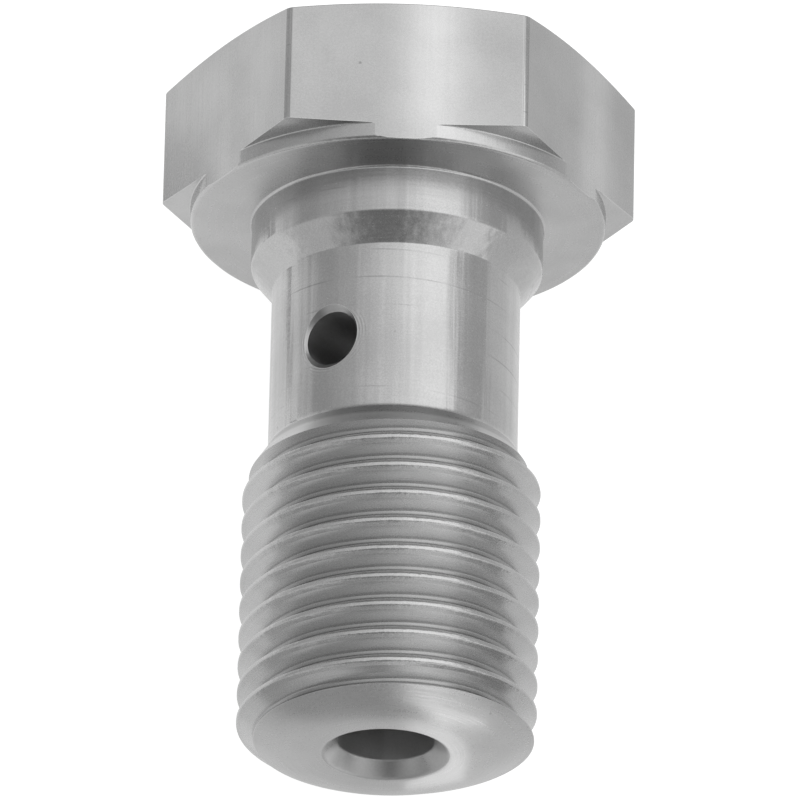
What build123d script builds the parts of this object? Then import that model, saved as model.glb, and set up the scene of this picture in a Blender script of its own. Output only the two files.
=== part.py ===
from build123d import *
from math import atan, ceil, cos, degrees, radians, tan
import os

# Banjo bolt: a hollow screw turned from one hexagon bar. All sizes are in millimetres.
# It is drawn upright first: the axis is Z, the head is up, and the face that clamps the
# banjo fitting is the plane z = 0. The front is the flat of the head that faces -Y.

# head
across_flats = 13.75       # 14 mm hexagon bar, at the low side of its tolerance
head_height = 5.1          # seat to the top of the head
head_top_d = 12.9          # flat left inside the top chamfer
top_chamfer_angle = 15.0   # from the top face
boss_d = 13.9              # turned washer boss, cut by the six flats
boss_height = 0.575
underside_angle = 4.0      # rise of the corners' undersides, outwards

# shank
collar_d = 9.75            # pilot collar that centres the fitting
collar_length = 1.6
seat_fillet = 0.1          # where the collar meets the seat
neck_d = 8.3               # oil gallery inside the fitting
neck_cone_length = 0.9
neck_end = 8.4             # seat to the start of the thread's run-out cone
runout_angle = 33.0        # from the axis
shank_length = 19.2
end_flat_d = 6.75
end_chamfer_height = 0.7

# thread, right hand, 60 degree form
thread_major_d = 9.9
thread_pitch = 1.0
thread_depth = 0.61
flank_angle = 30.0         # from the plane square to the axis
groove_width = 0.865       # at the major diameter, which leaves the flat of the crest
groove_lead = 0.99         # start of the run-out cone to the middle of the first groove, at the front
groove_overcut = 0.05      # how far the cutter stands out of the thread

# oil ways
bore_d = 3.2
bore_depth = 15.0          # end face to the end of the full bore
drill_point_angle = 118.0
countersink_d = 4.2
countersink_depth = 0.5
cross_hole_d = 1.9
cross_hole_drop = 5.68     # seat to the middle of the hole
cross_hole_turn = -33.5    # from the front flat, seen from the head, towards +X

neck_r = neck_d / 2
major_r = thread_major_d / 2
corner_r = across_flats / 2 / cos(radians(30))


def turned_profile():
    """Half section of the turned blank, from the axis out and back."""
    top_r = head_top_d / 2
    boss_r = boss_d / 2
    skin = corner_r + 1
    top_edge = head_height - (skin - top_r) * tan(radians(top_chamfer_angle))
    underside_edge = boss_height + (skin - boss_r) * tan(radians(underside_angle))
    runout_end = neck_end + (major_r - neck_r) / tan(radians(runout_angle))
    points = [
        (0, head_height),
        (top_r, head_height),
        (skin, top_edge),
        (skin, underside_edge),
        (boss_r, boss_height),
        (boss_r, 0),
        (collar_d / 2, 0),
        (collar_d / 2, -collar_length),
        (neck_r, -collar_length - neck_cone_length),
        (neck_r, -neck_end),
        (major_r, -runout_end),
        (major_r, end_chamfer_height - shank_length),
        (end_flat_d / 2, -shank_length),
        (0, -shank_length),
    ]
    return [(r, 0, z) for r, z in points]


def blank():
    """The turned blank inside its hexagon bar."""
    section = make_face(Polyline(*turned_profile(), close=True))
    corner = section.vertices().sort_by_distance((collar_d / 2, 0, 0))[0]
    turned = revolve(fillet(corner, seat_fillet), Axis.Z)
    bar_length = head_height + shank_length
    hexagon = RegularPolygon(across_flats / 2, 6, major_radius=False)
    bar = extrude(hexagon, bar_length)
    return turned & Pos(0, 0, -shank_length) * bar


def groove_end(corners):
    """The flat face that closes the groove cutter at one end."""
    return Face(Wire.make_polygon([(r, 0, z) for r, z in corners], close=True))


def groove_turn():
    """One turn of the V-shaped cutter, rising from the front with its middle at z = 0."""
    slope = tan(radians(flank_angle))
    root_r = major_r - thread_depth
    outer_r = major_r + groove_overcut
    root_half = groove_width / 2 - thread_depth * slope
    outer_half = groove_width / 2 + groove_overcut * slope
    section = [(root_r, -root_half), (outer_r, -outer_half), (outer_r, outer_half), (root_r, root_half)]
    edges = [Edge.make_helix(thread_pitch, thread_pitch, r, center=(0, 0, z)) for r, z in section]
    sides = [Face.make_surface_from_curves(edges[i - 1], edges[i]) for i in range(4)]
    first = groove_end(section)
    last = groove_end([(r, z + thread_pitch) for r, z in section])
    skin = Face.sew_faces(sides + [first, last])[0]
    return Rot(0, 0, -90) * Solid(Shell(skin))


def threaded(piece):
    """Cuts the thread a turn at a time, from past the end face up to the run-out cone."""
    first_groove = neck_end + groove_lead
    turns_below = ceil((shank_length - first_groove) / thread_pitch + 0.5)
    turns_above = ceil(groove_lead / thread_pitch)
    cutter = groove_turn()
    for turn in range(-turns_below, turns_above):
        piece = piece - Pos(0, 0, turn * thread_pitch - first_groove) * cutter
    return piece


def oil_ways():
    """Countersunk blind bore from the thread end, and the hole across the neck."""
    bore_r = bore_d / 2
    tip = bore_r / tan(radians(drill_point_angle / 2))
    top = bore_depth - shank_length
    points = [
        (0, 0, -shank_length),
        (countersink_d / 2, 0, -shank_length),
        (bore_r, 0, countersink_depth - shank_length),
        (bore_r, 0, top),
        (0, 0, top + tip),
    ]
    bore = revolve(make_face(Polyline(*points, close=True)), Axis.Z)
    across = Rot(0, 90, 0) * Cylinder(cross_hole_d / 2, boss_d)
    across = Pos(0, 0, -cross_hole_drop) * Rot(0, 0, cross_hole_turn - 90) * across
    return bore, across


def banjo_bolt():
    bore, across = oil_ways()
    return threaded(blank()) - bore - across


def lying(piece):
    """At rest on its side: one flat of the head and the last crest of the thread touch."""
    drop = (across_flats - thread_major_d) / 2
    tilt = degrees(atan(drop / (shank_length - end_chamfer_height)))
    return Rot(tilt - 90, 0, 0) * piece


os.makedirs("parts", exist_ok=True)
bolt = lying(banjo_bolt())
export_step(bolt, "parts/banjo_bolt.step")
print("volume", round(bolt.volume, 2), "mm3; valid", bolt.is_valid, "; solids", len(bolt.solids()))
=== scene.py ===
import bmesh
import bpy
import math
from mathutils import Matrix, Vector


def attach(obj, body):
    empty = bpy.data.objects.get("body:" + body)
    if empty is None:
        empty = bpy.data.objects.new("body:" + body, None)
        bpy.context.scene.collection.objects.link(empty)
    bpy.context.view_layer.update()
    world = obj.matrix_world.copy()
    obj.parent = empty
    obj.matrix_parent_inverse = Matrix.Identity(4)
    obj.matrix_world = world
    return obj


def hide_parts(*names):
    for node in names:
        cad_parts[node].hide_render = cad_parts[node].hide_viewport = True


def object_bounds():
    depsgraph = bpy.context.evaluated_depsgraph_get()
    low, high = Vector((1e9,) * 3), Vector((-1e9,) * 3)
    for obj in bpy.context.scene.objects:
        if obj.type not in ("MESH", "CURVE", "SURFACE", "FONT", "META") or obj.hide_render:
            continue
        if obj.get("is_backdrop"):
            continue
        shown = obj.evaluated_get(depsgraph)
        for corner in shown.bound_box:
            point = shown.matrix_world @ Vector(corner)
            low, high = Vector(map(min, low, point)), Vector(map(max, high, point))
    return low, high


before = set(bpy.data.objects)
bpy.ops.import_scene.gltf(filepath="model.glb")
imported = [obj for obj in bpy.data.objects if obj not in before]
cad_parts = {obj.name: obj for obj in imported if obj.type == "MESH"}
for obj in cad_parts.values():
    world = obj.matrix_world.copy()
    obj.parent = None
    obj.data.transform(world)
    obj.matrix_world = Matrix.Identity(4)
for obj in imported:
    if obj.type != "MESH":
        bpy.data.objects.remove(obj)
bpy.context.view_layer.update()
print("stage: frame loaded")

# The bolt is modelled upright in millimetres, with its head up, its axis on Z, the seat under
# the head at z = 0 and the front flat facing -Y. It is laid on its side and brought to metres
# at the end.
mm = 0.001
samePlace = 0.002   # when a corner is looked up, a point this near is the corner
mergeWithin = 0.0005


def startFresh():
    if bpy.context.mode != "OBJECT":
        bpy.ops.object.mode_set(mode="OBJECT")
    bpy.ops.object.select_all(action="DESELECT")


def pickAlone(piece):
    startFresh()
    piece.select_set(True)
    bpy.context.view_layer.objects.active = piece


# selects in edit mode the vertices, edges or faces that the test says yes to
def choose(piece, kind, test):
    bpy.ops.mesh.select_mode(type=kind)
    bpy.ops.mesh.select_all(action="DESELECT")
    shape = bmesh.from_edit_mesh(piece.data)
    shape.normal_update()
    for part in {"VERT": shape.verts, "EDGE": shape.edges, "FACE": shape.faces}[kind]:
        if test(part):
            part.select_set(True)
    bmesh.update_edit_mesh(piece.data)


# a small plane is drawn together to one point, and the point is extruded along the line
def drawLine(name, points):
    startFresh()
    bpy.ops.mesh.primitive_plane_add(size=0.1, location=(points[0][0], 0, points[0][1]))
    line = bpy.context.object
    line.name = name
    bpy.ops.object.transform_apply(location=True, rotation=True, scale=True)
    bpy.ops.object.mode_set(mode="EDIT")
    bpy.ops.mesh.select_mode(type="VERT")
    bpy.ops.mesh.select_all(action="SELECT")
    bpy.ops.mesh.merge(type="CENTER")
    for (r0, z0), (r1, z1) in zip(points, points[1:]):
        bpy.ops.mesh.extrude_region_move(TRANSFORM_OT_translate={"value": (r1 - r0, 0, z1 - z0)})
    return line


def roundCorner(line, point, size, segments):
    def here(vert):
        return abs(vert.co.x - point[0]) < samePlace and abs(vert.co.z - point[1]) < samePlace
    choose(line, "VERT", here)
    bpy.ops.mesh.bevel(offset=size, segments=segments, affect="VERTICES")


def booleanWith(piece, tool, operation):
    pickAlone(piece)
    bpy.ops.object.modifier_add(type="BOOLEAN")
    cut = piece.modifiers[-1]
    cut.operation = operation
    cut.solver = "MANIFOLD"
    cut.object = tool
    bpy.ops.object.modifier_apply(modifier=cut.name)
    bpy.data.objects.remove(tool)


bolt = {
    "acrossFlats": 13.75, "headHeight": 5.1, "headTopR": 6.45, "topChamfer": 15.0,
    "bossR": 6.95, "bossHeight": 0.575, "undersideRise": 4.0,
    "collarR": 4.875, "collarEnd": -1.6, "neckR": 4.15, "neckStart": -2.5, "neckEnd": -8.4,
    "runoutAngle": 33.0, "end": -19.2, "endFlatR": 3.375, "endChamfer": 0.7,
    "boreR": 1.6, "boreTop": -4.2, "drillAngle": 59.0, "countersinkR": 2.1, "countersinkDepth": 0.5,
    "skinR": 8.6,                          # the blank's head, before the flats trim it
    "ringCount": 11, "ringStep": 0.49,     # rings along the neck, so that the cross hole cuts cleanly
    "spinSteps": 256, "arcSegments": 4, "segmentsPerMm": 6,
    "barLength": 40.0, "barMiddle": -8.0,
    "cornerRound": 0.16, "cornerSegments": 4,    # the hexagon bar's corners
    # left by the deburring, on the hexagon's edges at the top of the head: those on a flat, or at a
    # corner, which is past edgeFromR
    "edgeRound": 0.035, "edgeSegments": 3, "edgeTurn": 45.0, "edgeFromZ": 4.0, "edgeFromR": 7.7,
    "edgeWithin": 0.001,
    # how far each corner of the turned outline is cut back where it is rounded
    "roundings": {"headTop": 0.06, "bossTop": 0.045, "bossSeat": 0.16, "collarSeat": 0.1, "collarEnd": 0.09,
                  "neckStart": 0.05, "neckEnd": 0.12, "threadStart": 0.15, "threadEnd": 0.06, "endFlat": 0.7,
                  "countersink": 0.14, "bore": 0.05},
    "smoothBelow": 28.0,   # degrees between faces; a sharper edge stays sharp
}
thread = {
    "majorR": 4.95, "depth": 0.61, "pitch": 1.0, "flank": 30.0, "mouth": 0.865,
    "lead": 0.99,          # run-out cone to the first groove at the front
    "turnsBelow": 11, "turns": 12, "steps": 192,
    "phase": 0.35,         # degrees, so that its steps don't fall on the spin's
    "rootRound": 0.05, "rootSegments": 3,
    # the crest's edge: where the flank ends under the crest, and two short steps that turn outwards
    "crestBreak": 0.022, "crestStep": 0.014, "crestAngles": (50.0, 70.0),
}
crossHole = {
    "r": 0.95, "drop": 5.68, "turn": -33.5, "vertices": 96, "drillLength": 14.0,
    "mouthStart": 3.955,   # how far from the bolt's axis the countersink leaves the hole's wall
    "mouthFlare": 1.0, "mouthBack": 0.1, "mouthLength": 1.2,
}
rootR = thread["majorR"] - thread["depth"]
holeTurn = math.radians(crossHole["turn"])
holeDirection = Vector((math.sin(holeTurn), -math.cos(holeTurn), 0))
sixthTurn = math.radians(60)
flatDirections = [Vector((math.sin(k * sixthTurn), -math.cos(k * sixthTurn), 0)) for k in range(6)]


def turnBlank():
    b = bolt
    skin = b["skinR"]
    topEdge = b["headHeight"] - (skin - b["headTopR"]) * math.tan(math.radians(b["topChamfer"]))
    underEdge = b["bossHeight"] + (skin - b["bossR"]) * math.tan(math.radians(b["undersideRise"]))
    runout = (thread["majorR"] - b["neckR"]) / math.tan(math.radians(b["runoutAngle"]))
    tip = b["boreR"] / math.tan(math.radians(b["drillAngle"]))
    rings = [(b["neckR"], b["neckStart"] - step * b["ringStep"]) for step in range(1, b["ringCount"] + 1)]
    corners = {
        "axisTop": (0, b["headHeight"]),
        "headTop": (b["headTopR"], b["headHeight"]),
        "skinTop": (skin, topEdge),
        "skinUnder": (skin, underEdge),
        "bossTop": (b["bossR"], b["bossHeight"]),
        "bossSeat": (b["bossR"], 0),
        "collarSeat": (b["collarR"], 0),
        "collarEnd": (b["collarR"], b["collarEnd"]),
        "neckStart": (b["neckR"], b["neckStart"]),
        "neckEnd": (b["neckR"], b["neckEnd"]),
        "threadStart": (thread["majorR"], b["neckEnd"] - runout),
        "threadEnd": (thread["majorR"], b["end"] + b["endChamfer"]),
        "endFlat": (b["endFlatR"], b["end"]),
        "countersink": (b["countersinkR"], b["end"]),
        "bore": (b["boreR"], b["end"] + b["countersinkDepth"]),
        "boreTop": (b["boreR"], b["boreTop"]),
        "drillTip": (0, b["boreTop"] + tip),
    }
    points = list(corners.values())
    afterNeckStart = list(corners).index("neckStart") + 1
    blank = drawLine("bolt_turned", points[:afterNeckStart] + rings + points[afterNeckStart:])
    for corner, size in b["roundings"].items():
        roundCorner(blank, corners[corner], size, b["arcSegments"] + int(size * b["segmentsPerMm"]))
    bpy.ops.mesh.select_all(action="SELECT")
    bpy.ops.mesh.spin(steps=b["spinSteps"], angle=math.tau, center=(0, 0, 0), axis=(0, 0, 1))
    bpy.ops.mesh.select_all(action="SELECT")
    bpy.ops.mesh.remove_doubles(threshold=mergeWithin)
    bpy.ops.mesh.normals_make_consistent(inside=False)
    bpy.ops.object.mode_set(mode="OBJECT")
    return blank


def hexagonBar():
    startFresh()
    bpy.ops.mesh.primitive_cylinder_add(
        vertices=6, radius=bolt["acrossFlats"] / math.sqrt(3), depth=bolt["barLength"],
        location=(0, 0, bolt["barMiddle"]), rotation=(0, 0, math.radians(30)))
    bar = bpy.context.object
    bpy.ops.object.transform_apply(location=True, rotation=True, scale=True)
    bpy.ops.object.mode_set(mode="EDIT")
    # the edges along the bar
    choose(bar, "EDGE", lambda edge: abs(edge.verts[0].co.z - edge.verts[1].co.z) > 1)
    bpy.ops.mesh.bevel(offset=bolt["cornerRound"], segments=bolt["cornerSegments"], affect="EDGES")
    bpy.ops.object.mode_set(mode="OBJECT")
    return bar


def threadCutter():
    t = thread
    slope = math.tan(math.radians(t["flank"]))
    rootHalf = t["mouth"] / 2 - t["depth"] * slope
    side = [(rootR, rootHalf), (t["majorR"] - t["crestBreak"], t["mouth"] / 2 - t["crestBreak"] * slope)]
    for angle in t["crestAngles"]:
        r, half = side[-1]
        side.append((r + t["crestStep"], half + t["crestStep"] * math.tan(math.radians(angle))))
    middleZ = bolt["neckEnd"] - t["lead"] - t["turnsBelow"] * t["pitch"]
    section = [(r, middleZ - half) for r, half in side[::-1]] + [(r, middleZ + half) for r, half in side]
    cutter = drawLine("thread_cutter", section)
    for sign in (-1, 1):
        roundCorner(cutter, (rootR, middleZ + sign * rootHalf), t["rootRound"], t["rootSegments"])
    ends = (section[0], section[-1])
    choose(cutter, "VERT", lambda vert: any(
        abs(vert.co.x - r) + abs(vert.co.z - z) < samePlace for r, z in ends))
    bpy.ops.mesh.edge_face_add()
    bpy.ops.object.mode_set(mode="OBJECT")
    bpy.ops.object.modifier_add(type="SCREW")
    winding = cutter.modifiers[-1]
    winding.axis = "Z"
    winding.angle = math.tau
    winding.screw_offset = t["pitch"]
    winding.iterations = t["turns"]
    winding.steps = winding.render_steps = t["steps"]
    bpy.ops.object.modifier_apply(modifier=winding.name)
    bpy.ops.object.mode_set(mode="EDIT")
    bpy.ops.mesh.select_all(action="SELECT")
    bpy.ops.mesh.fill_holes(sides=0)
    bpy.ops.mesh.select_all(action="SELECT")
    bpy.ops.mesh.normals_make_consistent(inside=False)
    bpy.ops.object.mode_set(mode="OBJECT")
    cutter.rotation_euler = (0, 0, math.radians(t["phase"] - 90))
    bpy.ops.object.transform_apply(location=True, rotation=True, scale=True)
    return cutter


def crossDrill():
    c = crossHole
    startFresh()
    bpy.ops.mesh.primitive_cylinder_add(
        vertices=c["vertices"], radius=c["r"], depth=c["drillLength"], location=(0, 0, -c["drop"]),
        rotation=(math.radians(90), 0, holeTurn))
    bpy.ops.object.transform_apply(location=True, rotation=True, scale=True)
    return bpy.context.object


# side 1 is the mouth in front, side -1 the one behind; the tool is a cone that just breaks the edge
def mouthTool(side):
    c = crossHole
    inner = c["r"] - c["mouthBack"] * c["mouthFlare"]
    outer = inner + c["mouthLength"] * c["mouthFlare"]
    middle = c["mouthStart"] - c["mouthBack"] + c["mouthLength"] / 2
    startFresh()
    bpy.ops.mesh.primitive_cone_add(
        vertices=c["vertices"], radius1=inner, radius2=outer, depth=c["mouthLength"],
        location=holeDirection * side * middle - Vector((0, 0, c["drop"])),
        rotation=(math.radians(90 * side), 0, holeTurn))
    bpy.ops.object.transform_apply(location=True, rotation=True, scale=True)
    return bpy.context.object


# the hexagon's edges at the chamfer, which were deburred
def breakHeadEdges(piece):
    def onHexagon(vert):
        outwards = max(flat.dot(vert.co) for flat in flatDirections)
        onFlat = outwards > bolt["acrossFlats"] / 2 - bolt["edgeWithin"]
        return onFlat or math.hypot(vert.co.x, vert.co.y) > bolt["edgeFromR"]

    def sharp(edge):
        if len(edge.link_faces) != 2 or edge.calc_face_angle(0) < math.radians(bolt["edgeTurn"]):
            return False
        return all(vert.co.z > bolt["edgeFromZ"] and onHexagon(vert) for vert in edge.verts)

    pickAlone(piece)
    bpy.ops.object.mode_set(mode="EDIT")
    choose(piece, "EDGE", sharp)
    bpy.ops.mesh.bevel(
        offset=bolt["edgeRound"], segments=bolt["edgeSegments"], affect="EDGES", clamp_overlap=False)
    bpy.ops.object.mode_set(mode="OBJECT")


banjoBolt = turnBlank()
print("stage: blank turned,", len(banjoBolt.data.vertices), "points")
booleanWith(banjoBolt, hexagonBar(), "INTERSECT")
breakHeadEdges(banjoBolt)
print("stage: hexagon cut,", len(banjoBolt.data.vertices), "points")
booleanWith(banjoBolt, crossDrill(), "DIFFERENCE")
for side in (1, -1):
    booleanWith(banjoBolt, mouthTool(side), "DIFFERENCE")
print("stage: cross hole drilled,", len(banjoBolt.data.vertices), "points")
booleanWith(banjoBolt, threadCutter(), "DIFFERENCE")
print("stage: thread cut,", len(banjoBolt.data.vertices), "points")


# sRGB hex to the linear colour that a shader takes
def hexColour(code):
    parts = [int(code[i:i + 2], 16) / 255 for i in (1, 3, 5)]
    return [c / 12.92 if c <= 0.04045 else ((c + 0.055) / 1.055) ** 2.4 for c in parts] + [1.0]


# a link comes from an output, or from a node's first output
def addNode(tree, kind, settings=None, links=None):
    node = tree.nodes.new("ShaderNode" + kind)
    for key, value in (settings or {}).items():
        if isinstance(key, int) or key in node.inputs:
            node.inputs[key].default_value = value
        else:
            setattr(node, key, value)
    for key, source in (links or {}).items():
        if isinstance(source, bpy.types.Node):
            source = source.outputs[0]
        tree.links.new(source, node.inputs[key])
    return node


# lying down, the bolt rests on a flat of the head and on the thread's last crest
tiltAngle = math.atan((bolt["acrossFlats"] / 2 - thread["majorR"]) / (-bolt["end"] - bolt["endChamfer"]))
tilt = math.degrees(tiltAngle)
boltAxis = (0, math.cos(math.radians(tilt)), math.sin(math.radians(tilt)))

# Stainless steel, all of it, told apart by how each surface was made. Turning leaves fine rings
# round the axis, so light spreads along the axis and its bands stay crisp round the shank. The
# hexagon was drawn, so its lines run along the axis and light spreads across the flats. The grain
# is drawn a little coarser than the steel's own, so that it shows.
finishes = {
    "turned_stainless_steel": {
        "colour": "#b8b8b8", "roughness": 0.14, "anisotropy": 0.6, "grooves": "round",
        "ringMm": 0.07, "ringBump": 0.3, "grainMm": 0.06, "grain": 0.14, "edge": 0.7, "feedMm": 1.0,
        "ripple": 0.34},
    "drawn_hexagon_steel": {
        "colour": "#b6b6b6", "roughness": 0.2, "anisotropy": 0.1, "grooves": "along",
        "ringMm": 0.09, "ringBump": 0.25, "grainMm": 0.07, "grain": 0.09, "edge": 0.5, "lean": 0.13},
    "threaded_stainless_steel": {
        "colour": "#bcbcbc", "roughness": 0.21, "anisotropy": 0.45, "grooves": "round",
        "ringMm": 0.05, "ringBump": 0.5, "grainMm": 0.05, "grain": 0.11, "edge": 0.9, "threaded": True,
        "ripple": 0.05},
    "faced_stainless_steel": {
        "colour": "#b8b8b8", "roughness": 0.24, "anisotropy": 0.5, "grooves": "round",
        "ringMm": 0.06, "ringBump": 0.3, "grainMm": 0.06, "grain": 0.14, "edge": 0.4, "ripple": 0.2},
    "countersunk_stainless_steel": {
        "colour": "#a4a4a4", "roughness": 0.28, "anisotropy": 0.3, "grooves": "round",
        "ringMm": 0.08, "ringBump": 0.4, "grainMm": 0.07, "grain": 0.10, "edge": 0.4},
    "drilled_stainless_steel": {
        "colour": "#b8b8b8", "roughness": 0.45, "anisotropy": 0.3, "grooves": "round",
        "ringMm": 0.10, "ringBump": 0.50, "grainMm": 0.08, "grain": 0.10, "edge": 0.3},
}
# What the finishes share. A pair, here and in the marks below, is where something starts and where
# it is full.
steel = {
    # the lighter colour here is that of worn edges, and also of the painted sheen on the thread's head-facing
    # flank
    "wearAndSheenColour": "#d2d2d2", "dullShare": 0.84, "cloudScale": 0.35,
    "ringsRound": 1.6, "linesAlong": 0.12, "roughnessSpread": 0.05, "bumpMm": 0.0015, "grainBump": 0.35,
    "tone": (0.3, 0.7), "speck": (0.35, 0.65), "speckGain": 2.5, "lines": (0.3, 0.7),
    "edgeMm": 0.05, "edgeTurn": (0.995, 0.93),
    "pitScale": 0.57, "pit": (0.04, 0.01), "pitShade": 0.6,
}
# the thread's; crest, the painted shade in the root, torn and burr go by height above the root, in
# millimetres
threadWearAndPaintedLight = {
    "crest": (0.3, 0.5), "crestPatches": (0.35, 0.6), "crestLeast": 0.35,
    # the flank that faces the head: rubbed rougher, and painted brighter as a painted sheen
    "rubbedAndSheen": (0.45, 0.8), "rubbedAndSheenShare": 0.9,
    "oil": (0.1, 0.01), "oilShade": 0.68, "torn": (0.42, 0.12), "tornRoughness": (0.02, 0.3),
    "burr": (0.44, 0.56), "burrsRound": 12, "burrsAlong": 7.0, "burrMm": 0.03, "burrBump": 0.9,
}
# the flats': a streak beside each flat's middle, which leans and is painted brighter as a painted sheen, and
# painted shade along the corners, which goes by the distance out to the corner, in millimetres
flatMarksAndPaintedLight = {
    "streakPhase": 2.34, "streakPower": 4.0, "levelLean": -0.02, "paintedSheenGain": 0.16, "levelGain": 0.98,
    "paintedCornerShade": (-0.026, -0.01), "paintedCornerShadeLevel": 0.5,
}
# the shank's: ripples, feed lines by distance from the line, and rings round the mouth of the cross
# hole by distance from the hole's axis, in millimetres
turnMarks = {
    "rippleScale": (4.2, 4.2, 0.1), "rippleSides": (0.96, 0.7),
    "feedLine": (0.035, 0.012), "feedPatches": (0.49, 0.61), "feedDark": 0.26,
    "chatter": (1.42, 1.12), "chatterDepth": 0.2, "chatterPerMm": 62.0, "chatterScale": 1.3,
    "chatterPatches": (0.42, 0.62),
}


# a pair as a Map Range node's settings
def between(pair, offset=0.0):
    return {"From Min": offset + pair[0], "From Max": offset + pair[1]}


# where a point is on the bolt, by its own axes, upright, in millimetres, and which way is round it
def boltPlaces(tree):
    place = addNode(tree, "TexCoord").outputs["Object"]
    upright = addNode(tree, "Mapping", {
        "Rotation": (math.radians(90 - tilt), 0, 0), "Scale": (1 / mm, 1 / mm, 1 / mm)}, {"Vector": place})
    x, y, z = addNode(tree, "SeparateXYZ", links={"Vector": upright}).outputs
    flat = addNode(tree, "CombineXYZ", links={"X": x, "Y": y})
    return {
        "upright": upright, "z": z,
        "radius": addNode(tree, "VectorMath", {"operation": "LENGTH"}, {0: flat}).outputs["Value"],
        "around": addNode(tree, "VectorMath", {"operation": "NORMALIZE"}, {0: flat}),
        "turn": addNode(tree, "Math", {"operation": "ARCTAN2"}, {0: y, 1: x}),
        "circle": addNode(tree, "VectorMath", {"operation": "CROSS_PRODUCT", 0: boltAxis}, {1: place}),
        "normal": addNode(tree, "NewGeometry").outputs["Normal"],
    }


# the fine lines that the tool left, round the axis or along it
def toolLines(tree, f, at):
    if f["grooves"] == "round":
        along = addNode(tree, "Math", {"operation": "ADD"}, {0: at["z"], 1: at["radius"]})
        rise = addNode(tree, "Math", {"operation": "DIVIDE", 1: f["ringMm"]}, {0: along})
        lift = addNode(tree, "CombineXYZ", links={"Z": rise})
        spread = addNode(tree, "VectorMath", {
            "operation": "MULTIPLY", 1: (steel["ringsRound"], steel["ringsRound"], 0)}, {0: at["around"]})
        lineSpace = addNode(tree, "VectorMath", {"operation": "ADD"}, {0: spread, 1: lift})
    else:
        lineSpace = addNode(tree, "VectorMath", {
            "operation": "MULTIPLY", 1: (1 / f["ringMm"], 1 / f["ringMm"], steel["linesAlong"])},
            {0: at["upright"]})
    return addNode(tree, "TexNoise", {"Scale": 1.0, "Detail": 3.0, "Roughness": 0.6}, {"Vector": lineSpace})


# crests are burnished and broken up, roots are not; the flank that faces the head is rubbed rougher and
# painted brighter, a painted sheen, so it is brighter than the other
def threadShares(tree, at, grain, edge):
    w = threadWearAndPaintedLight
    lifted = addNode(tree, "MapRange", between(w["crest"], rootR), {"Value": at["radius"]})
    patchy = addNode(tree, "MapRange", {
        **between(w["crestPatches"]), "To Min": w["crestLeast"]}, {"Value": grain})
    crest = addNode(tree, "Math", {"operation": "MULTIPLY"}, {0: lifted, 1: patchy})
    crestEdge = addNode(tree, "Math", {"operation": "MULTIPLY"}, {0: crest, 1: edge})
    headwards = addNode(tree, "VectorMath", {"operation": "DOT_PRODUCT", 1: boltAxis}, {0: at["normal"]})
    rubbedAndSheen = addNode(tree, "MapRange", {
        **between(w["rubbedAndSheen"]), "To Max": w["rubbedAndSheenShare"]}, {"Value": headwards.outputs["Value"]})
    return addNode(tree, "Math", {"operation": "MAXIMUM"}, {0: crestEdge, 1: rubbedAndSheen}), rubbedAndSheen


# small burrs stand along the crests, each about 0.4 mm long
def crestBurrs(tree, at, normal):
    w = threadWearAndPaintedLight
    place = addNode(tree, "VectorMath", {
        "operation": "MULTIPLY", 1: (w["burrsRound"], w["burrsRound"], 0)}, {0: at["around"]})
    rise = addNode(tree, "Math", {"operation": "MULTIPLY", 1: w["burrsAlong"]}, {0: at["z"]})
    lift = addNode(tree, "CombineXYZ", links={"Z": rise})
    space = addNode(tree, "VectorMath", {"operation": "ADD"}, {0: place, 1: lift})
    burrs = addNode(tree, "TexNoise", {"Scale": 1.0, "Detail": 3.0, "Roughness": 0.6}, {"Vector": space})
    topmost = addNode(tree, "MapRange", between(w["burr"], rootR), {"Value": at["radius"]})
    height = addNode(tree, "Math", {"operation": "MULTIPLY"}, {0: burrs, 1: topmost})
    return addNode(tree, "Bump", {
        "Strength": w["burrBump"], "Distance": w["burrMm"] * mm}, {"Height": height, "Normal": normal})


# the drawing die left each flat a little uneven: a streak beside its middle leans, and the same streak is
# painted brighter, a painted sheen
def flatStreak(tree, at):
    angle = addNode(tree, "Math", {
        "operation": "MULTIPLY_ADD", 1: 6.0, 2: flatMarksAndPaintedLight["streakPhase"]}, {0: at["turn"]})
    swing = addNode(tree, "Math", {"operation": "COSINE"}, {0: angle})
    half = addNode(tree, "Math", {"operation": "MULTIPLY_ADD", 1: 0.5, 2: 0.5}, {0: swing})
    return addNode(tree, "Math", {"operation": "POWER", 1: flatMarksAndPaintedLight["streakPower"]}, {0: half})


# painted shade along the corners, and a painted sheen that makes the streak brighter; both scale the colour
def paintedCornerShadeAndSheen(tree, at, streak):
    d = flatMarksAndPaintedLight
    arcR = bolt["cornerRound"] * math.tan(math.radians(60))
    cornerR = (bolt["acrossFlats"] / 2 - arcR) / math.cos(math.radians(30)) + arcR
    # painted shade: the colour darkens towards each corner
    paintedCornerShade = addNode(tree, "MapRange", {
        **between(d["paintedCornerShade"], cornerR), "To Min": 1.0, "To Max": d["paintedCornerShadeLevel"]}, {"Value": at["radius"]})
    # painted sheen: the streak is painted brighter in the colour
    paintedSheen = addNode(tree, "Math", {
        "operation": "MULTIPLY_ADD", 1: d["paintedSheenGain"], 2: d["levelGain"]}, {0: streak})
    return [paintedCornerShade, paintedSheen]


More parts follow.
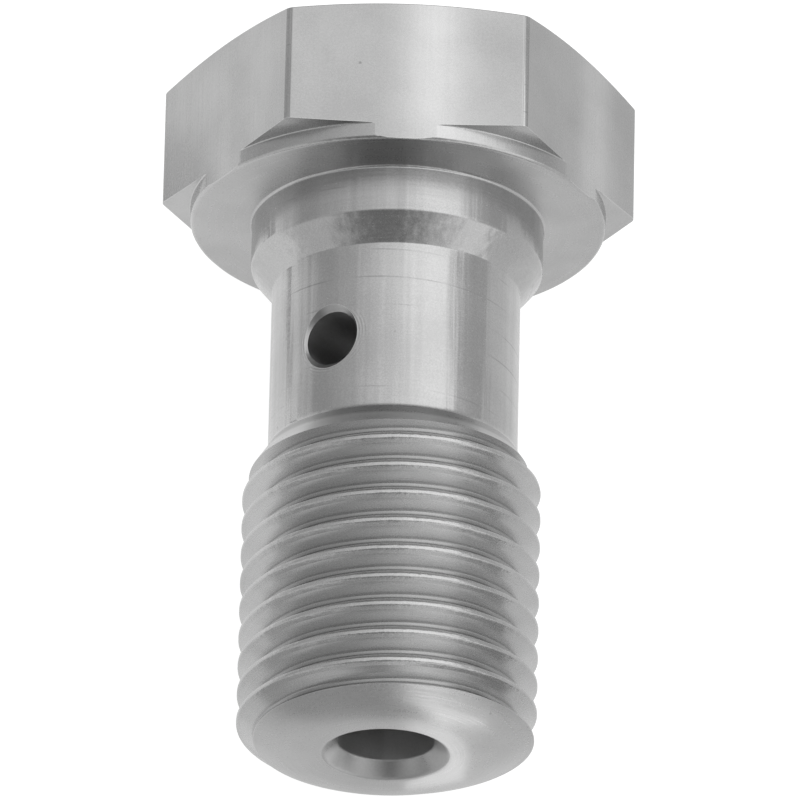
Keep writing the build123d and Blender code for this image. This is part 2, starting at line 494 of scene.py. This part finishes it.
# polishing along the shank left shallow ripples, so the bands of light have ragged sides
def rippleSlope(tree, f, at):
    long = addNode(tree, "VectorMath", {
        "operation": "MULTIPLY", 1: turnMarks["rippleScale"]}, {0: at["upright"]})
    ripples = addNode(tree, "TexNoise", {"Scale": 1.0, "Detail": 4.0, "Roughness": 0.62}, {"Vector": long})
    slope = addNode(tree, "Math", {
        "operation": "MULTIPLY_ADD", 1: f["ripple"], 2: -0.5 * f["ripple"]}, {0: ripples})
    endwise = addNode(tree, "VectorMath", {"operation": "DOT_PRODUCT", 1: boltAxis}, {0: at["normal"]})
    plainEnd = addNode(tree, "Math", {"operation": "ABSOLUTE"}, {0: endwise.outputs["Value"]})
    sided = addNode(tree, "MapRange", between(turnMarks["rippleSides"]), {"Value": plainEnd})
    return addNode(tree, "Math", {"operation": "MULTIPLY"}, {0: slope, 1: sided})


# one line a turn where the tool was drawn back along the shank, broken up
def feedShade(tree, f, at, cloud):
    winding = addNode(tree, "Math", {
        "operation": "MULTIPLY_ADD", 1: 1 / math.tau}, {0: at["turn"], 2: at["z"]})
    within = addNode(tree, "Math", {"operation": "PINGPONG", 1: 0.5 * f["feedMm"]}, {0: winding})
    line = addNode(tree, "MapRange", between(turnMarks["feedLine"]), {"Value": within})
    broken = addNode(tree, "MapRange", {
        **between(turnMarks["feedPatches"]), "To Max": turnMarks["feedDark"]}, {"Value": cloud})
    marks = addNode(tree, "Math", {"operation": "MULTIPLY"}, {0: line, 1: broken})
    return addNode(tree, "Math", {"operation": "SUBTRACT", 0: 1.0}, {1: marks})


# the countersink chattered round the mouth of the cross hole
def chatterShade(tree, at):
    t = turnMarks
    offset = addNode(tree, "VectorMath", {
        "operation": "ADD", 1: (0, 0, crossHole["drop"])}, {0: at["upright"]})
    depth = addNode(tree, "VectorMath", {"operation": "PROJECT", 1: tuple(holeDirection)}, {0: offset})
    aside = addNode(tree, "VectorMath", {"operation": "SUBTRACT"}, {0: offset, 1: depth})
    away = addNode(tree, "VectorMath", {"operation": "LENGTH"}, {0: aside}).outputs["Value"]
    near = addNode(tree, "MapRange", {**between(t["chatter"]), "To Max": t["chatterDepth"]}, {"Value": away})
    angle = addNode(tree, "Math", {"operation": "MULTIPLY", 1: t["chatterPerMm"]}, {0: away})    # radians
    swing = addNode(tree, "Math", {"operation": "SINE"}, {0: angle})
    uneven = addNode(tree, "TexNoise", {"Scale": t["chatterScale"], "Detail": 2.0}, {"Vector": aside})
    patches = addNode(tree, "MapRange", between(t["chatterPatches"]), {"Value": uneven})
    share = addNode(tree, "Math", {"operation": "MULTIPLY"}, {0: near, 1: patches})
    return addNode(tree, "Math", {"operation": "MULTIPLY_ADD", 2: 1.0}, {0: swing, 1: share})


def steelMaterial(name):
    f = finishes[name]
    material = bpy.data.materials.new(name)
    material.use_nodes = True
    tree = material.node_tree
    tree.nodes.clear()
    at = boltPlaces(tree)
    lines = toolLines(tree, f, at)
    grain = addNode(tree, "TexNoise", {
        "Scale": 1 / f["grainMm"], "Detail": 2.0, "Roughness": 0.6}, {"Vector": at["upright"]})
    cloud = addNode(tree, "TexNoise", {
        "Scale": steel["cloudScale"], "Detail": 3.0, "Roughness": 0.5}, {"Vector": at["upright"]})

    # where the surface turns within a short way there is a burnished edge
    rounded = addNode(tree, "Bevel", {"samples": 6, "Radius": steel["edgeMm"] * mm})
    facing = addNode(tree, "VectorMath", {"operation": "DOT_PRODUCT"}, {0: rounded, 1: at["normal"]})
    edge = addNode(tree, "MapRange", {
        **between(steel["edgeTurn"]), "To Min": 0.0, "To Max": f["edge"]}, {"Value": facing.outputs["Value"]})
    # on the thread this also holds the painted sheen of the head-facing flank
    wearAndSheen = edge
    if "threaded" in f:
        wearAndSheen, rubbedAndSheen = threadShares(tree, at, grain, edge)

    base = hexColour(f["colour"])
    speckle = steel["speckGain"] * f["grain"]
    tone = addNode(tree, "MapRange", between(steel["tone"]), {"Value": cloud})
    speck = addNode(tree, "MapRange", {
        **between(steel["speck"]), "To Min": -speckle, "To Max": speckle}, {"Value": grain})
    toned = addNode(tree, "Math", {"operation": "ADD", "use_clamp": True}, {0: tone, 1: speck})
    plain = addNode(tree, "Mix", {"data_type": "RGBA"}, {0: toned})
    plain.inputs[6].default_value = [c * steel["dullShare"] for c in base[:3]] + [1.0]
    plain.inputs[7].default_value = base
    # worn edges take the lighter colour, and on the thread so does the painted sheen of the head-facing flank
    colour = addNode(tree, "Mix", {"data_type": "RGBA"}, {0: wearAndSheen, 6: plain.outputs[2]})
    colour.inputs[7].default_value = hexColour(steel["wearAndSheenColour"])
    shade = colour.outputs[2]

    smoothest = f["roughness"] - steel["roughnessSpread"]
    roughest = f["roughness"] + steel["roughnessSpread"]
    roughness = addNode(tree, "MapRange", {
        **between(steel["lines"]), "To Min": smoothest, "To Max": roughest}, {"Value": lines})
    rough = addNode(tree, "Math", {"operation": "MULTIPLY_ADD", 1: f["grain"]}, {0: grain, 2: roughness})
    lineBump = addNode(tree, "Bump", {
        "Strength": f["ringBump"], "Distance": steel["bumpMm"] * mm}, {"Height": lines})
    bent = addNode(tree, "Bump", {
        "Strength": steel["grainBump"], "Distance": steel["bumpMm"] * mm},
        {"Height": grain, "Normal": lineBump})

    if "threaded" in f:
        # the root is painted darker, a painted shade in the groove, and the rubbed flank is torn towards it
        w = threadWearAndPaintedLight
        shades = [addNode(tree, "MapRange", {
            **between(w["oil"], rootR), "To Min": 1.0, "To Max": w["oilShade"]}, {"Value": at["radius"]})]
        deep = addNode(tree, "MapRange", {
            **between(w["torn"], rootR), "To Min": w["tornRoughness"][0], "To Max": w["tornRoughness"][1]},
            {"Value": at["radius"]})
        rough = addNode(tree, "Math", {"operation": "MULTIPLY_ADD"}, {0: rubbedAndSheen, 1: deep, 2: rough})
        bent = crestBurrs(tree, at, bent)
    else:
        # a few small pits, up to 0.14 mm across, one or two to a flat
        pit = addNode(tree, "TexVoronoi", {"Scale": steel["pitScale"]}, {"Vector": at["upright"]})
        shades = [addNode(tree, "MapRange", {
            **between(steel["pit"]), "To Min": 1.0, "To Max": steel["pitShade"]},
            {"Value": pit.outputs["Distance"]})]

    slope = None
    if "lean" in f:
        streak = flatStreak(tree, at)
        slope = addNode(tree, "Math", {
            "operation": "MULTIPLY_ADD", 1: f["lean"], 2: flatMarksAndPaintedLight["levelLean"]}, {0: streak})
        # painted sheen on the streak, and painted shade along the corners
        shades += paintedCornerShadeAndSheen(tree, at, streak)
    if "ripple" in f:
        slope = rippleSlope(tree, f, at)
    if slope:
        unit = addNode(tree, "VectorMath", {"operation": "NORMALIZE"}, {0: at["circle"]})
        push = addNode(tree, "VectorMath", {"operation": "SCALE"}, {0: unit, "Scale": slope})
        leaned = addNode(tree, "VectorMath", {"operation": "ADD"}, {0: bent, 1: push})
        bent = addNode(tree, "VectorMath", {"operation": "NORMALIZE"}, {0: leaned})
    if "feedMm" in f:
        shades += [feedShade(tree, f, at, cloud), chatterShade(tree, at)]
    for share in shades:
        shade = addNode(tree, "VectorMath", {"operation": "SCALE"}, {0: shade, "Scale": share})

    # light spreads across the lines: circle is round the axis, across lies in the surface, square to it
    across = at["circle"]
    if f["grooves"] == "round":
        across = addNode(tree, "VectorMath", {
            "operation": "CROSS_PRODUCT"}, {0: at["normal"], 1: at["circle"]})
    tangent = addNode(tree, "VectorMath", {"operation": "NORMALIZE"}, {0: across})
    shader = addNode(tree, "BsdfPrincipled", {"Metallic": 1.0, "Anisotropic": f["anisotropy"]}, {
        "Base Color": shade, "Roughness": rough, "Normal": bent, "Tangent": tangent})
    addNode(tree, "OutputMaterial", links={"Surface": shader})
    return material


# which faces get which finish; distances are in millimetres, and a slant is the normal's share
# along the axis, which is negative where a face looks towards the threaded end
faceTests = {
    "flatWithin": 0.02, "bossWithin": 0.03, "flatSlant": 0.35, "belowSeat": 0.01,
    "threadFromR": 4.2, "threadPastChamfer": 0.3, "threadPastNeck": 0.05, "threadSlant": -0.88,
    "chamferWithin": 0.03, "seatWithin": 0.05, "facedSlant": -0.89,
    "mouthWithin": 0.3, "mouthFromR": 3.9, "mouthInsideNeck": 0.003,
    "countersinkWithin": 0.1, "countersinkSlant": -0.1,
    "crossWithin": 0.003, "crossToR": 4.12, "boreWithin": 0.02, "boreUnderTop": 1.0,
}


def finishFaces(piece):
    t = faceTests
    chamferStart = bolt["end"] + bolt["endChamfer"]

    def fromAxis(spot):
        return math.hypot(spot.x, spot.y)

    def fromHole(spot):
        offset = spot + Vector((0, 0, crossHole["drop"]))
        return (offset - holeDirection * offset.dot(holeDirection)).length

    # the flats, and the side of the boss, which was polished with them
    def isFlat(face):
        c = face.calc_center_median()
        onFlat = max(flat.dot(c) for flat in flatDirections) > bolt["acrossFlats"] / 2 - t["flatWithin"]
        onBoss = fromAxis(c) > bolt["bossR"] - t["bossWithin"] and c.z < bolt["bossHeight"]
        return abs(face.normal.z) < t["flatSlant"] and (onFlat or onBoss) and c.z > -t["belowSeat"]

    def isThread(face):
        c = face.calc_center_median()
        alongThread = chamferStart - t["threadPastChamfer"] < c.z < bolt["neckEnd"] - t["threadPastNeck"]
        return alongThread and fromAxis(c) > t["threadFromR"] and face.normal.z >= t["threadSlant"]

    # the seat, the end and its chamfer
    def isFaced(face):
        c = face.calc_center_median()
        atEnd = c.z < chamferStart + t["chamferWithin"]
        return (atEnd or abs(c.z) < t["seatWithin"]) and face.normal.z < t["facedSlant"]

    def isCountersunk(face):
        c = face.calc_center_median()
        inMouth = t["mouthFromR"] < fromAxis(c) < bolt["neckR"] - t["mouthInsideNeck"]
        onMouth = fromHole(c) < crossHole["r"] + t["mouthWithin"] and inMouth
        inEnd = fromAxis(c) < bolt["countersinkR"] + t["countersinkWithin"]
        return onMouth or (inEnd and t["facedSlant"] < face.normal.z < t["countersinkSlant"])

    def isDrilled(face):
        c = face.calc_center_median()
        inCross = fromHole(c) < crossHole["r"] + t["crossWithin"] and fromAxis(c) < t["crossToR"]
        inBore = fromAxis(c) < bolt["boreR"] + t["boreWithin"]
        return (inBore or inCross) and c.z < bolt["headHeight"] - t["boreUnderTop"]

    pickAlone(piece)
    piece.data.materials.clear()
    for name in finishes:
        piece.data.materials.append(steelMaterial(name))
    bpy.ops.object.mode_set(mode="EDIT")
    for slot, test in enumerate((isFlat, isThread, isFaced, isCountersunk, isDrilled), start=1):
        choose(piece, "FACE", test)
        piece.active_material_index = slot
        bpy.ops.object.material_slot_assign()
    bpy.ops.object.mode_set(mode="OBJECT")


finishFaces(banjoBolt)
pickAlone(banjoBolt)
banjoBolt.name = "bolt"
banjoBolt.scale = (mm, mm, mm)
banjoBolt.rotation_euler = (math.radians(tilt - 90), 0, 0)
bpy.ops.object.transform_apply(location=True, rotation=True, scale=True)
bpy.ops.object.shade_smooth_by_angle(angle=math.radians(bolt["smoothBelow"]))
bpy.ops.object.modifier_add(type="WEIGHTED_NORMAL")
banjoBolt.modifiers[-1].keep_sharp = True
bpy.ops.object.modifier_apply(modifier=banjoBolt.modifiers[-1].name)
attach(banjoBolt, "root")
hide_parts("banjo_bolt")
print("stage: bolt finished and laid down, tilt", round(tilt, 4))

# the floor is white paper that the bolt lies on; its sizes and distances are in metres
studio = {
    "floorSize": 3.0, "floorDiffuse": "#8c8c8c", "floorGlow": 0.92,
    # what the metal mirrors of the floor: brighter in front of the bolt than further out
    "floorNear": 0.84, "floorFar": 0.56, "floorFade": (0.012, 0.05), "floorBrightAt": (-0.022, 0, 0),
    # each panel, in millimetres: where its middle is across, its width, how far from the seat it starts
    # towards the threaded end, its length; and its brightness
    "panels": [
        (-12.2, 30.0, 24.5, 60.0, 0.5), (5.2, 4.8, 24.5, 60.0, 1.9), (17.6, 20.0, 24.5, 60.0, 0.3),
        (-5.8, 13.2, 19.2, 5.3, 0.84), (1.9, 2.2, 19.2, 5.3, 1.4), (7.5, 9.0, 19.2, 5.3, 0.85),
        (-20.5, 9.0, -11.5, 8.5, 0.58)],
    "panelLiftMm": 0.02,
    "windowPower": 0.08, "windowTurn": 40.0, "windowRise": 25.0, "windowDistance": 0.3,
    "windowSize": (0.18, 0.3), "windowAim": 0.007,    # it faces the shank, this far from the seat
}


def layFloor():
    startFresh()
    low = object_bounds()[0].z
    bpy.ops.mesh.primitive_grid_add(
        x_subdivisions=4, y_subdivisions=4, size=studio["floorSize"], location=(0, 0, 0))
    floor = bpy.context.object
    floor.name = "floor"
    floor.location.z = low
    bpy.ops.object.transform_apply(location=True, rotation=True, scale=True)
    paper = bpy.data.materials.new("matt_white_paper")
    paper.use_nodes = True
    tree = paper.node_tree
    tree.nodes.clear()
    rays = addNode(tree, "LightPath").outputs
    seen = addNode(tree, "Math", {"operation": "ADD", "use_clamp": True}, {
        0: rays["Is Camera Ray"], 1: rays["Is Transmission Ray"]})
    place = addNode(tree, "TexCoord").outputs["Object"]
    distance = addNode(tree, "VectorMath", {"operation": "DISTANCE", 1: studio["floorBrightAt"]}, {0: place})
    fade = addNode(tree, "MapRange", {
        **between(studio["floorFade"]), "To Min": studio["floorNear"], "To Max": studio["floorFar"]},
        {"Value": distance.outputs["Value"]})
    mirrored = addNode(tree, "Math", {"operation": "MULTIPLY"}, {0: rays["Is Glossy Ray"], 1: fade})
    level = addNode(tree, "Math", {
        "operation": "MULTIPLY_ADD", 1: studio["floorGlow"]}, {0: seen, 2: mirrored})
    glow = addNode(tree, "Emission", {"Color": (1, 1, 1, 1)}, {"Strength": level})
    matt = addNode(tree, "BsdfDiffuse", {"Color": hexColour(studio["floorDiffuse"])})
    both = addNode(tree, "AddShader", links={0: glow, 1: matt})
    addNode(tree, "OutputMaterial", links={"Surface": both})
    floor.data.materials.append(paper)
    floor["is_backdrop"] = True


# panels lie past the threaded end, and one beside the head; the steel mirrors them, and the camera
# doesn't see them
def layPanels():
    for number, (across, width, start, length, glowing) in enumerate(studio["panels"]):
        startFresh()
        bpy.ops.mesh.primitive_grid_add(x_subdivisions=2, y_subdivisions=2, size=1, location=(0, 0, 0))
        sheet = bpy.context.object
        sheet.name = "panel_" + str(number)
        sheet.scale = (width * mm, length * mm, 1)
        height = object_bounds()[0].z + studio["panelLiftMm"] * mm
        sheet.location = (across * mm, -(start + length / 2) * mm, height)
        bpy.ops.object.transform_apply(location=True, rotation=True, scale=True)
        face = bpy.data.materials.new(sheet.name)
        face.use_nodes = True
        face.node_tree.nodes.clear()
        glow = addNode(face.node_tree, "Emission", {"Color": (1, 1, 1, 1), "Strength": glowing})
        addNode(face.node_tree, "OutputMaterial", links={"Surface": glow})
        sheet.data.materials.append(face)
        sheet.visible_camera = False
        sheet.visible_shadow = False
        sheet.visible_diffuse = False
        sheet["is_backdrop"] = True


# turns a direction given by its turn round the bolt (0 at the front flat, + to the right) and its
# rise towards the head, both in degrees, into the frame of the lying bolt
def boltDirection(turn, rise):
    a, e = math.radians(turn), math.radians(rise)
    upright = Vector((math.sin(a) * math.cos(e), -math.cos(a) * math.cos(e), math.sin(e)))
    return Matrix.Rotation(math.radians(tilt - 90), 3, "X") @ upright


def hangWindow():
    away = boltDirection(studio["windowTurn"], studio["windowRise"])
    spot = away * studio["windowDistance"] + boltDirection(0, -90) * studio["windowAim"]
    bpy.ops.object.light_add(type="AREA", location=spot)
    lamp = bpy.context.object
    lamp.name = "window"
    lamp.data.shape = "RECTANGLE"
    lamp.data.size, lamp.data.size_y = studio["windowSize"]
    lamp.data.energy = studio["windowPower"]
    lamp.visible_glossy = False
    upwards = boltDirection(0, 90)
    side = upwards.cross(away).normalized()
    lamp.rotation_euler = Matrix((side, away.cross(side), away)).transposed().to_euler()


# The room that the steel shows: brightness by the turn round the bolt, in degrees from its front
# flat, once level with the bolt and once low in front of it, towards its threaded end. The pairs
# are rises towards the head, as shares, where the low room and what is beyond the head come in.
room = {
    "level": [(-180, 1.0), (-100, 0.85), (-92, 0.78), (-84, 0.6), (-77, 0.52), (-66, 0.56), (-53, 0.64),
              (-41, 0.7), (-30, 0.84), (-18, 0.95), (-7, 1.1), (4, 1.22), (14, 1.46), (25, 1.57), (37, 1.58),
              (50, 1.55), (56, 1.1), (62, 0.72), (74, 0.62), (86, 0.62), (94, 0.66), (180, 1.0)],
    "low": [(-180, 0.9), (-108, 0.68), (-81, 0.8), (-68, 0.8), (-54, 0.58), (-40, 0.36), (-26, 0.28),
            (-12, 0.26), (4, 0.32), (17, 0.46), (32, 0.68), (46, 0.9), (58, 1.2), (72, 1.3), (85, 1.15),
            (98, 0.9), (180, 0.9)],
    "beyondHead": 0.36,
    "lowFrom": (-0.15, -0.45), "beyondFrom": (0.72, 0.92),
}


def turnRamp(tree, turn, stops):
    share = addNode(tree, "MapRange", {"From Min": -math.pi, "From Max": math.pi}, {"Value": turn})
    ramp = addNode(tree, "ValToRGB", links={"Fac": share})
    elements = ramp.color_ramp.elements
    while len(elements) < len(stops):
        elements.new(0.5)
    for element, (angle, brightness) in zip(elements, stops):
        element.position = (angle + 180) / 360
        element.color = (brightness, brightness, brightness, 1)
    return ramp.outputs[0]


def mixShades(tree, share, first, second):
    mix = addNode(tree, "Mix", {"data_type": "RGBA"}, {0: share})
    for socket, shade in ((6, first), (7, second)):
        if isinstance(shade, float):
            mix.inputs[socket].default_value = (shade, shade, shade, 1)
        else:
            tree.links.new(shade, mix.inputs[socket])
    return mix.outputs[2]


def paintRoom():
    world = bpy.data.worlds.new("studio")
    bpy.context.scene.world = world
    world.use_nodes = True
    tree = world.node_tree
    tree.nodes.clear()
    ray = addNode(tree, "TexCoord").outputs["Generated"]
    upright = addNode(tree, "Mapping", {"Rotation": (math.radians(90 - tilt), 0, 0)}, {"Vector": ray})
    x, y, z = addNode(tree, "SeparateXYZ", links={"Vector": upright}).outputs
    front = addNode(tree, "Math", {"operation": "MULTIPLY", 1: -1.0}, {0: y})
    turn = addNode(tree, "Math", {"operation": "ARCTAN2"}, {0: x, 1: front})
    smooth = {"interpolation_type": "SMOOTHSTEP"}
    lowShare = addNode(tree, "MapRange", {**between(room["lowFrom"]), **smooth}, {"Value": z})
    beyondShare = addNode(tree, "MapRange", {**between(room["beyondFrom"]), **smooth}, {"Value": z})
    level = turnRamp(tree, turn, room["level"])
    low = turnRamp(tree, turn, room["low"])
    shade = mixShades(tree, lowShare, level, low)
    shade = mixShades(tree, beyondShare, shade, room["beyondHead"])
    rays = addNode(tree, "LightPath")
    shown = mixShades(tree, rays.outputs["Is Camera Ray"], shade, 1.0)
    light = addNode(tree, "Background", links={"Color": shown})
    addNode(tree, "OutputWorld", links={"Surface": light})


# matched to the photograph: it looks at the bolt from the threaded end's side
shot = {"distanceMm": 447.7, "below": 24.883, "roll": 1.2988, "turn": -1.6582, "lens": 605.52, "sensor": 36,
        "aimAcrossMm": 0.2058, "aimAlongMm": -6.3163}


def placeCamera():
    e, roll = math.radians(shot["below"]), math.radians(shot["roll"])
    forward = Vector((0, math.cos(e), math.sin(e)))
    up = Vector((0, -math.sin(e), math.cos(e)))
    right = Vector((1, 0, 0))
    rolledRight = right * math.cos(roll) + up * math.sin(roll)
    rolledUp = up * math.cos(roll) - right * math.sin(roll)
    spot = Vector((shot["aimAcrossMm"], 0, shot["aimAlongMm"])) - forward * shot["distanceMm"]
    layDown = Matrix.Rotation(math.radians(tilt - 90), 3, "X")
    toBolt = layDown @ Matrix.Rotation(math.radians(shot["turn"]), 3, "Z")
    axes = Matrix((toBolt @ rolledRight, toBolt @ rolledUp, toBolt @ -forward)).transposed()
    startFresh()
    bpy.ops.object.camera_add(location=toBolt @ spot * mm)
    camera = bpy.context.object
    camera.rotation_euler = axes.to_euler()
    camera.data.sensor_width = shot["sensor"]
    camera.data.lens = shot["lens"]
    bpy.context.scene.camera = camera


layFloor()
layPanels()
hangWindow()
paintRoom()
placeCamera()
bpy.context.scene.view_settings.view_transform = "Standard"
print("stage: floor, light and camera placed")
